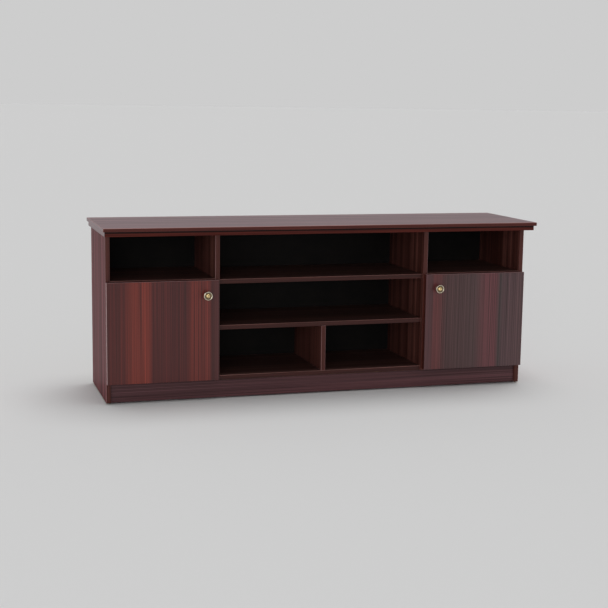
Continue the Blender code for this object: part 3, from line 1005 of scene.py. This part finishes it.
@dataclass
class Door:
    """One slab door, bored for its hinge cups and its knob, with two bumpers on its back."""

    side: str
    sign: int
    bore_clearance: float = 0.3 * MM
    knob_hole: float = 2.4 * MM
    bumper_radius: float = 4.0 * MM
    bumper_height: float = 1.4 * MM
    bumper_from_edge: float = 4.8 * MM
    bumper_from_end: float = 30 * MM
    bore_facets: int = 64
    hole_facets: int = 24
    bumper_facets: int = 32

    def build(self) -> None:
        """Makes the slab and its bumpers."""
        node = "door_" + self.side
        body = self.side + "_door"
        low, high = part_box(node)
        outer, inner = (Face.LEFT, Face.RIGHT) if self.sign < 0 else (Face.RIGHT, Face.LEFT)
        covering = {
            Face.FRONT: door_laminate(self.side),
            Face.REAR: DOOR_BACK,
            # Painted highlight: the outer edge gets the lighter band
            outer: BAND_DOOR_HIGHLIGHT,
            inner: BAND_UPRIGHT,
            Face.OVER: BAND_LENGTHWISE,
            Face.UNDER: BAND_LENGTHWISE,
        }
        board = Board(node, body, covering, LIT_ARRIS_UPRIGHT, slot="door_board")
        for place in HINGE_PLACES:
            tag = f"{self.side}_{place}"
            cup_low, cup_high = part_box("hinge_cup_" + tag)
            radius = (cup_high.x - cup_low.x) / 2 + self.bore_clearance
            depth = high.y - cup_low.y + self.bore_clearance
            middle = (cup_low + cup_high) / 2
            centre = Vector((middle.x, high.y, middle.z))
            bore = cylinder_shape(centre, radius, 2 * depth, self.bore_facets)
            board.cut("bore_" + tag, bore)
        screw_low, screw_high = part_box("knob_screw_" + self.side)
        screw = (screw_low + screw_high) / 2
        centre = Vector((screw.x, (low.y + high.y) / 2, screw.z))
        length = 2 * (high.y - low.y)
        hole = cylinder_shape(centre, self.knob_hole, length, self.hole_facets)
        board.cut("knob_hole_" + self.side, hole)
        board.build()
        self.bumpers(low, high, body)

    def bumpers(self, low: Vector, high: Vector, body: str) -> None:
        """Makes the domed bumpers near the door's free edge.

        Args:
            low: the door's lowest corner.
            high: its highest corner.
            body: the door's body.
        """
        squash = self.bumper_height / self.bumper_radius
        dome = arc((0.0, 0.0), self.bumper_radius, start=90, end=0, steps=8)
        profile = [(0.0, self.bumper_height)]
        profile += [(radius, height * squash) for radius, height in dome[1:]]
        profile += [(0.0, 0.0)]
        x = (low.x if self.sign > 0 else high.x) + self.sign * self.bumper_from_edge
        shape = bmesh.new()
        for z in (low.z + self.bumper_from_end, high.z - self.bumper_from_end):
            place = Matrix.Translation((x, high.y, z)) @ Matrix.Rotation(math.radians(-90), 4, "X")
            shape.from_mesh(turned_mesh(profile, place, self.bumper_facets))
        piece = new_piece("bumpers_" + self.side, smoothed(to_mesh(shape)))
        piece.data.materials.append(BUMPER_PLASTIC.material())
        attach(piece, body)
        log.info("bumpers %s", self.side)


@dataclass
class Knob:
    """A turned knob: a waisted nickel body with a rolled rim, and a brass dome set in its face."""

    side: str
    rim: float = 3.2 * MM
    recess: float = 3.0 * MM
    waist_radius: float = 5.0 * MM
    waist_height: float = 7.3 * MM
    shoulder_height: float = 14.3 * MM
    neck_sweep: float = 4.2 * MM
    neck_rise: float = 2.6 * MM
    foot_radius: float = 7.2 * MM
    foot_bead: float = 0.9 * MM
    foot_height: float = 3.4 * MM
    foot_flare: float = 0.2 * MM
    foot_relief: float = 0.1 * MM
    bore: float = 2.4 * MM
    bore_depth: float = 10.4 * MM
    flatness: float = 0.05 * MM
    button: float = 2.2 * MM
    button_edge: float = 0.6 * MM
    button_step: float = 0.2 * MM
    button_fall: float = 0.05 * MM
    button_groove: float = 0.4 * MM

    def build(self) -> None:
        """Makes the body and the dome, and gives the screw its steel."""
        self.turn_body()
        self.turn_dome()
        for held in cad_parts["knob_screw_" + self.side].material_slots:
            held.material = STEEL.material()

    @property
    def front(self) -> float:
        """Where the door's front face is, along Y."""
        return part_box("door_" + self.side)[0].y

    def place(self, node: str) -> Matrix:
        """Gives the matrix that faces a turned piece out of the door.

        Args:
            node: the CAD node whose middle is on the knob's axis.

        Returns:
            A matrix on the knob's axis at the door's front, with Z outward.
        """
        low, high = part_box(node)
        middle = (low + high) / 2
        turn = Matrix.Rotation(math.radians(90), 4, "X")
        return Matrix.Translation((middle.x, self.front, middle.z)) @ turn

    def turn_body(self) -> None:
        """Turns the nickel body."""
        node = "knob_body_" + self.side
        low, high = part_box(node)
        radius = (high.x - low.x) / 2
        reach = self.front - low.y
        foot = self.front - high.y
        lip = self.rim / 2
        floor = reach - self.recess
        sweep = self.neck_sweep
        neck = (self.waist_radius + sweep, self.waist_height + self.neck_rise)
        # Down the outer side: the recess, the rolled rim, the shoulder, the waist and the foot,
        # then in to the screw's bore
        profile = [(0.0, floor), (radius - self.rim, floor)]
        profile += arc((radius - lip, reach - lip), lip, start=180, end=0, steps=14)
        shoulder = (radius - lip, self.shoulder_height + lip)
        profile += arc(shoulder, lip, start=0, end=-70, steps=6)
        profile += arc(neck, sweep, start=130, end=200, steps=8)
        bead = self.foot_bead
        profile += [(self.waist_radius + self.foot_flare, foot + self.foot_height)]
        profile += arc((self.foot_radius - bead, foot + bead), bead, start=80, end=-20, steps=6)
        profile += [(self.foot_radius - self.foot_relief, foot), (self.bore, foot)]
        profile += [(self.bore, self.bore_depth), (0.0, self.bore_depth)]
        piece = new_piece("knob_" + self.side, smoothed(turned_mesh(profile, self.place(node))))
        piece.data.materials.append(NICKEL.material())
        piece.data.materials.append(GROOVE_NICKEL.material())
        seat = self.front - floor
        for polygon in piece.data.polygons:
            if abs(seat - polygon.center.y) < self.flatness:
                polygon.material_index = 1
        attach(piece, self.side + "_door")
        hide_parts(node)
        log.info("knob %s", self.side)

    def turn_dome(self) -> None:
        """Turns the brass dome, with a small button at its centre."""
        node = "knob_cap_" + self.side
        low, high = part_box(node)
        radius = (high.x - low.x) / 2
        base, crown = self.front - high.y, self.front - low.y
        rise = crown - base
        dome = (radius**2 + rise**2) / (2 * rise)
        edge = math.degrees(math.acos(radius / dome))
        button = self.button
        start = math.degrees(math.acos(button / dome))
        profile = [(0.0, crown), (button - self.button_edge, crown - self.button_fall)]
        profile += [(button - self.button_step, crown - self.button_groove)]
        profile += arc((0.0, crown - dome), dome, start, edge, steps=18)
        profile += [(0.0, base)]
        mesh = smoothed(turned_mesh(profile, self.place(node)))
        piece = new_piece("knob_dome_" + self.side, mesh)
        piece.data.materials.append(BRASS.material())
        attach(piece, self.side + "_door")
        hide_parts(node)
        log.info("knob dome %s", self.side)


@dataclass
class CupHinge:
    """The metal parts of one concealed hinge, welded from their CAD nodes with softened edges."""

    side: str
    place: str
    edge: float = 0.15 * MM
    weld: float = 0.001 * MM
    flat: float = math.radians(1)
    corner: float = math.radians(40)

    def build(self) -> None:
        """Makes a finer copy of each part."""
        tag = f"{self.side}_{self.place}"
        parts = {
            "hinge_arm_": ("carcass", ZINC, "hinge_metal"),
            "hinge_plate_": ("carcass", ZINC, "hinge_metal"),
            "hinge_cup_": (self.side + "_door", ZINC, "hinge_metal"),
            "outer_link_": (self.side + "_outer_links", ZINC, "hinge_metal"),
            "inner_link_": (self.side + "_inner_links", ZINC, "hinge_metal"),
            "arm_pin_outer_": ("carcass", STEEL, "steel"),
            "arm_pin_inner_": ("carcass", STEEL, "steel"),
            "cup_pin_": (self.side + "_door", STEEL, "steel"),
        }
        for stem, (body, finish, slot) in parts.items():
            self.refine(stem + tag, body, finish)
        log.info("hinge %s", tag)

    def refine(self, node: str, body: str, finish: Finish) -> None:
        """Welds a copy of a CAD node and softens its edges.

        Args:
            node: the CAD node.
            body: the body that it rides on.
            finish: its finish.
        """
        shape = bmesh.new()
        shape.from_mesh(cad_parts[node].data)
        bmesh.ops.remove_doubles(shape, verts=shape.verts, dist=self.weld)
        bmesh.ops.dissolve_limit(
            shape, angle_limit=self.flat, verts=shape.verts, edges=shape.edges
        )
        piece = new_piece(node + "_part", to_mesh(shape))
        piece.data.materials.clear()
        piece.data.materials.append(finish.material())
        bevel = piece.modifiers.new("edge", "BEVEL")
        bevel.width = self.edge
        bevel.segments = 2
        bevel.limit_method = "ANGLE"
        bevel.angle_limit = self.corner
        applied(piece)
        smoothed(piece.data)
        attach(piece, body)
        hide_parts(node)


@dataclass(frozen=True)
class HeadSize:
    """The sizes of one kind of fastener head."""

    diameter: float
    height: float
    taper: float
    slot_width: float
    slot_depth: float
    crossed: bool


HINGE_SCREW = HeadSize(6.4 * MM, 1.1 * MM, 0.72, 0.9 * MM, 0.7 * MM, True)
ADJUSTING_SCREW = HeadSize(5.6 * MM, 0.9 * MM, 0.86, 1.0 * MM, 0.6 * MM, True)
CAM_LOCK = HeadSize(15.0 * MM, 0.5 * MM, 0.96, 1.6 * MM, 0.4 * MM, True)
BACK_NAIL = HeadSize(5.0 * MM, 0.7 * MM, 0.62, 0.5 * MM, 0.2 * MM, False)


class FastenerHeads:
    """A Geometry Nodes tree that sets one head on each point, turned by chance about its axis."""

    facing: str = "facing"
    facets: int = 24
    slot_reach: float = 1.3

    def __init__(self) -> None:
        """Builds the tree once."""
        self.tree = bpy.data.node_groups.new("fastener_heads", "GeometryNodeTree")
        self.add = partial(add_node, self.tree)
        face = self.tree.interface
        kinds = {"Places": "Geometry"}
        kinds |= dict.fromkeys(("Diameter", "Height", "Taper", "Slot Width", "Slot Depth"), "Float")
        kinds |= {"Crossed": "Bool", "Seed": "Int", "Finish": "Material"}
        for name, kind in kinds.items():
            face.new_socket(name, in_out="INPUT", socket_type="NodeSocket" + kind)
        face.new_socket("Heads", in_out="OUTPUT", socket_type="NodeSocketGeometry")
        given = self.add("NodeGroupInput").outputs
        spun = self.turns(given["Seed"])
        points = {"Points": given["Places"], "Instance": self.head(given), "Rotation": spun}
        placed = self.add("GeometryNodeInstanceOnPoints", points)
        real = self.add("GeometryNodeRealizeInstances", {0: placed.outputs[0]})
        coat = {"Geometry": real.outputs[0], "Material": given["Finish"]}
        coated = self.add("GeometryNodeSetMaterial", coat)
        self.add("NodeGroupOutput", {"Heads": coated.outputs[0]})

    def head(self, given: bpy.types.NodeOutputs) -> bpy.types.NodeSocket:
        """Makes the head: a low tapered disc, with a cross cut in it when it is asked for.

        Args:
            given: the tree's inputs.

        Returns:
            The head's geometry.
        """
        half = {0: given["Diameter"], 1: 0.5}
        radius = self.add("ShaderNodeMath", half, operation="MULTIPLY").outputs[0]
        tapered = {0: radius, 1: given["Taper"]}
        crown = self.add("ShaderNodeMath", tapered, operation="MULTIPLY").outputs[0]
        across = {0: crown, 1: self.slot_reach}
        length = self.add("ShaderNodeMath", across, operation="MULTIPLY").outputs[0]
        twice = {0: given["Slot Depth"], 1: 2.0}
        deep = self.add("ShaderNodeMath", twice, operation="MULTIPLY").outputs[0]
        lift = self.add("ShaderNodeCombineXYZ", {2: given["Height"]}).outputs[0]
        sizes = {"Vertices": self.facets, "Radius Top": crown, "Radius Bottom": radius}
        cone = self.add("GeometryNodeMeshCone", {**sizes, "Depth": given["Height"]})
        disc = slotted = cone.outputs["Mesh"]
        for sides in ({0: length, 1: given["Slot Width"]}, {0: given["Slot Width"], 1: length}):
            size = self.add("ShaderNodeCombineXYZ", {**sides, 2: deep})
            bar = self.add("GeometryNodeMeshCube", {"Size": size.outputs[0]})
            raised = {"Geometry": bar.outputs[0], "Translation": lift}
            cutter = self.add("GeometryNodeTransform", raised)
            parts = {0: slotted, 1: cutter.outputs[0]}
            slotted = self.add("GeometryNodeMeshBoolean", parts, operation="DIFFERENCE").outputs[0]
        either = {"Switch": given["Crossed"], "False": disc, "True": slotted}
        return self.add("GeometryNodeSwitch", either, input_type="GEOMETRY").outputs[0]

    def turns(self, seed: bpy.types.NodeSocket) -> bpy.types.NodeSocket:
        """Points each head along its surface, and turns it about its own axis.

        Args:
            seed: the tree's seed.

        Returns:
            The rotation's socket.
        """
        facing = {"Name": self.facing}
        outward = self.add("GeometryNodeInputNamedAttribute", facing, data_type="FLOAT_VECTOR")
        toward = {"Vector": outward.outputs[0]}
        aimed = self.add("FunctionNodeAlignRotationToVector", toward, axis="Z")
        # Input 3 of a random value is the highest that it gives
        chance = self.add("FunctionNodeRandomValue", {3: math.pi, "Seed": seed}, data_type="FLOAT")
        spin = {"Axis": (0.0, 0.0, 1.0), "Angle": chance.outputs[1]}
        about = self.add("FunctionNodeAxisAngleToRotation", spin)
        both = {"Rotation": aimed.outputs[0], "Rotate By": about.outputs[0]}
        return self.add("FunctionNodeRotateRotation", both, rotation_space="LOCAL").outputs[0]

    def set_heads(
        self,
        name: str,
        places: list[tuple[Vector, Vector]],
        size: HeadSize,
        finish: Finish,
        body: str,
        slot: str,
        seed: int = 1,
    ) -> bpy.types.Object:
        """Sets a head on each place and makes one plain mesh of them.

        Args:
            name: the piece's name.
            places: each head's point on the surface, and the way that it faces.
            size: the heads' sizes.
            finish: their finish.
            body: the body that they ride on.
            slot: not used.
            seed: the seed of their turns.

        Returns:
            The piece.
        """
        mesh = bpy.data.meshes.new(name)
        mesh.from_pydata([point for point, _ in places], [], [])
        outward = mesh.attributes.new(self.facing, "FLOAT_VECTOR", "POINT")
        for datum, (_, way) in zip(outward.data, places):
            datum.vector = way
        piece = new_piece(name, mesh)
        modifier = piece.modifiers.new("heads", "NODES")
        modifier.node_group = self.tree
        values = {name.replace("_", " ").title(): value for name, value in vars(size).items()}
        values |= {"Seed": seed, "Finish": finish.material()}
        for item in self.tree.interface.items_tree:
            if item.name in values:
                modifier[item.identifier] = values[item.name]
        applied(piece)
        smoothed(piece.data, angle=25)
        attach(piece, body)
        log.info("%s: %d heads", name, len(places))
        return piece


@dataclass
class Fasteners:
    """Every screw, cam lock and nail that shows."""

    heads: FastenerHeads
    wing_inset: float = 4.4 * MM
    arm_screws: tuple[float, float] = (22 * MM, 12 * MM)
    cam_from_end: float = 24 * MM
    cam_from_front: float = 50 * MM
    nail_inset: float = 7.5 * MM
    nail_pitch: float = 120 * MM

    def build(self) -> None:
        """Sets the fasteners of every body."""
        for side, sign in SIDES.items():
            self.hinge_screws(side, sign)
        self.cam_locks()
        self.nails()

    def hinge_screws(self, side: str, sign: int) -> None:
        """Sets two screws in each cup's wings, two in each plate and two in each arm.

        Args:
            side: "left" or "right".
            sign: the side's direction along X.
        """
        backward, inward = Vector((0, 1, 0)), Vector((-sign, 0, 0))
        in_cups, in_plates, in_arms = [], [], []
        for place in HINGE_PLACES:
            tag = f"{side}_{place}"
            low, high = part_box("hinge_cup_" + tag)
            for z in (low.z + self.wing_inset, high.z - self.wing_inset):
                in_cups.append((Vector(((low.x + high.x) / 2, high.y, z)), backward))
            low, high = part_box("hinge_plate_" + tag)
            inner = low.x if sign > 0 else high.x
            for z in (low.z + self.wing_inset, high.z - self.wing_inset):
                in_plates.append((Vector((inner, (low.y + high.y) / 2, z)), inward))
            low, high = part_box("hinge_arm_" + tag)
            face = low.x if sign > 0 else high.x
            for back in self.arm_screws:
                in_arms.append((Vector((face, high.y - back, (low.z + high.z) / 2)), inward))
        cups = (f"cup_screws_{side}", in_cups, HINGE_SCREW, STEEL, side + "_door", "steel")
        plates = (f"plate_screws_{side}", in_plates, HINGE_SCREW, STEEL, "carcass", "steel")
        arms = (f"arm_screws_{side}", in_arms, ADJUSTING_SCREW, STEEL, "carcass", "steel")
        for screws in (cups, plates, arms):
            self.heads.set_heads(*screws)

    def cam_locks(self) -> None:
        """Sets the cam locks under the shelves and the bottoms, near their ends."""
        down = Vector((0, 0, -1))
        shelves = ["centre_shelf_upper", "centre_shelf_lower", "bottom_panel_centre"]
        shelves += [f"{kind}_{side}" for kind in ("cubby_shelf", "bottom_panel") for side in SIDES]
        places = []
        for node in shelves:
            low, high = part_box(node)
            for x in (low.x + self.cam_from_end, high.x - self.cam_from_end):
                for y in (low.y + self.cam_from_front, high.y - self.cam_from_front):
                    places.append((Vector((x, y, low.z)), down))
        self.heads.set_heads("cam_locks", places, CAM_LOCK, ZINC, "carcass", "steel", seed=3)

    def nails(self) -> None:
        """Sets the nails of the back panel round its edge and down both partitions."""
        low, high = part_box("back_panel")
        inset = self.nail_inset
        points = []
        for z in (low.z + inset, high.z - inset):
            ends = (Vector((low.x + inset, high.y, z)), Vector((high.x - inset, high.y, z)))
            points += self.spaced(*ends)
        columns = [low.x + inset / 2, high.x - inset / 2]
        for side in SIDES:
            part_low, part_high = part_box("partition_" + side)
            columns.append((part_low.x + part_high.x) / 2)
        for x in columns:
            ends = (Vector((x, high.y, low.z + inset)), Vector((x, high.y, high.z - inset)))
            points += self.spaced(*ends)[1:-1]
        backward = Vector((0, 1, 0))
        places = [(point, backward) for point in points]
        nails = ("back_nails", places, BACK_NAIL, NAIL_STEEL, "carcass", "steel")
        self.heads.set_heads(*nails, seed=5)

    def spaced(self, start: Vector, end: Vector) -> list[Vector]:
        """Points at an even pitch between two ends.

        Args:
            start: the first point.
            end: the last point.

        Returns:
            The points, both ends included.
        """
        count = round((end - start).length / self.nail_pitch)
        return [start.lerp(end, i / count) for i in range(count + 1)]


@dataclass(frozen=True)
class Lamp:
    """A broad soft light, far away."""

    name: str
    strength: float
    softness: float
    way: tuple[float, float, float]

    def hang(self) -> None:
        """Puts the light in the scene, shining from its own way."""
        data = bpy.data.lights.new(self.name, "SUN")
        data.energy = self.strength
        data.angle = math.radians(self.softness)
        lamp = bpy.data.objects.new(self.name, data)
        lamp.rotation_mode = "QUATERNION"
        lamp.rotation_quaternion = Vector(self.way).to_track_quat("Z", "Y")
        bpy.context.scene.collection.objects.link(lamp)


@dataclass
class Studio:
    """A pale floor that runs out of sight, even soft light and the camera."""

    backdrop: str = "#cdcdcd"
    ceiling: str = "#8c8c8c"
    horizon_height: float = 0.16
    ceiling_height: float = 0.55
    floor_reach: float = 400.0
    floor_gap: float = 4.0 * MM
    floor_squares: int = 8
    key: Lamp = Lamp("key_light", 1.50, 44.0, (0.12, 0.07, 1.0))
    fill: Lamp = Lamp("front_fill", 0.66, 30.0, (-0.42, -1.0, 0.15))
    camera_place: tuple[float, float, float] = (-1.3213, -4.2747, 0.9898)
    camera_heading: float = 16.825
    camera_tilt: float = 8.90
    camera_roll: float = -0.80
    lens: float = 75.47
    sensor: float = 36.0

    def build(self) -> None:
        """Sets the floor, the light and the camera."""
        self.lay_floor()
        self.light()
        self.set_camera()
        log.info("studio")

    def lay_floor(self) -> None:
        """Lays the floor as one wide sheet, a hair low so that the foot keeps its dark line."""
        shape = bmesh.new()
        under = Matrix.Translation((0, 0, -self.floor_gap))
        squares = self.floor_squares
        bmesh.ops.create_grid(
            shape, x_segments=squares, y_segments=squares, size=self.floor_reach, matrix=under
        )
        floor = new_piece("studio_floor", to_mesh(shape))
        floor.data.materials.append(BackdropPaper().material())

    def light(self) -> None:
        """Sets a pale wall all round, a dimmer ceiling, a key overhead and a low fill in front."""
        world = bpy.data.worlds.new("studio_air")
        world.use_nodes = True
        world.node_tree.nodes.clear()
        way = add_node(world.node_tree, "ShaderNodeTexCoord").outputs["Generated"]
        height = add_node(world.node_tree, "ShaderNodeSeparateXYZ", {0: way}).outputs["Z"]
        stops = ((self.horizon_height, self.backdrop), (self.ceiling_height, self.ceiling))
        wall = add_node(world.node_tree, "ShaderNodeValToRGB", {0: height}, stops)
        air = add_node(
            world.node_tree, "ShaderNodeBackground", {"Color": wall.outputs[0], "Strength": 1.0}
        )
        add_node(world.node_tree, "ShaderNodeOutputWorld", {"Surface": air.outputs[0]})
        bpy.context.scene.world = world
        self.key.hang()
        self.fill.hang()
        bpy.context.scene.view_settings.view_transform = "Standard"

    def set_camera(self) -> None:
        """Sets the camera in front of the stand's left end, a little above its top."""
        data = bpy.data.cameras.new("camera")
        data.lens = self.lens
        data.sensor_width = self.sensor
        camera = bpy.data.objects.new("camera", data)
        turn = Matrix.Rotation(math.radians(-self.camera_heading), 4, "Z")
        tilt = Matrix.Rotation(math.radians(90 - self.camera_tilt), 4, "X")
        roll = Matrix.Rotation(math.radians(-self.camera_roll), 4, "Z")
        camera.matrix_world = Matrix.Translation(self.camera_place) @ turn @ tilt @ roll
        bpy.context.scene.collection.objects.link(camera)
        bpy.context.scene.camera = camera


def main() -> None:
    """Builds the stand, piece by piece, and then the studio round it."""
    logging.basicConfig(level=logging.INFO, format="%(name)s: %(message)s")
    Carcass().build()
    TopAssembly().build()
    for side, sign in SIDES.items():
        Door(side, sign).build()
        Knob(side).build()
        for place in HINGE_PLACES:
            CupHinge(side, place).build()
    Fasteners(FastenerHeads()).build()
    Studio().build()


if __name__ == "__main__":
    main()
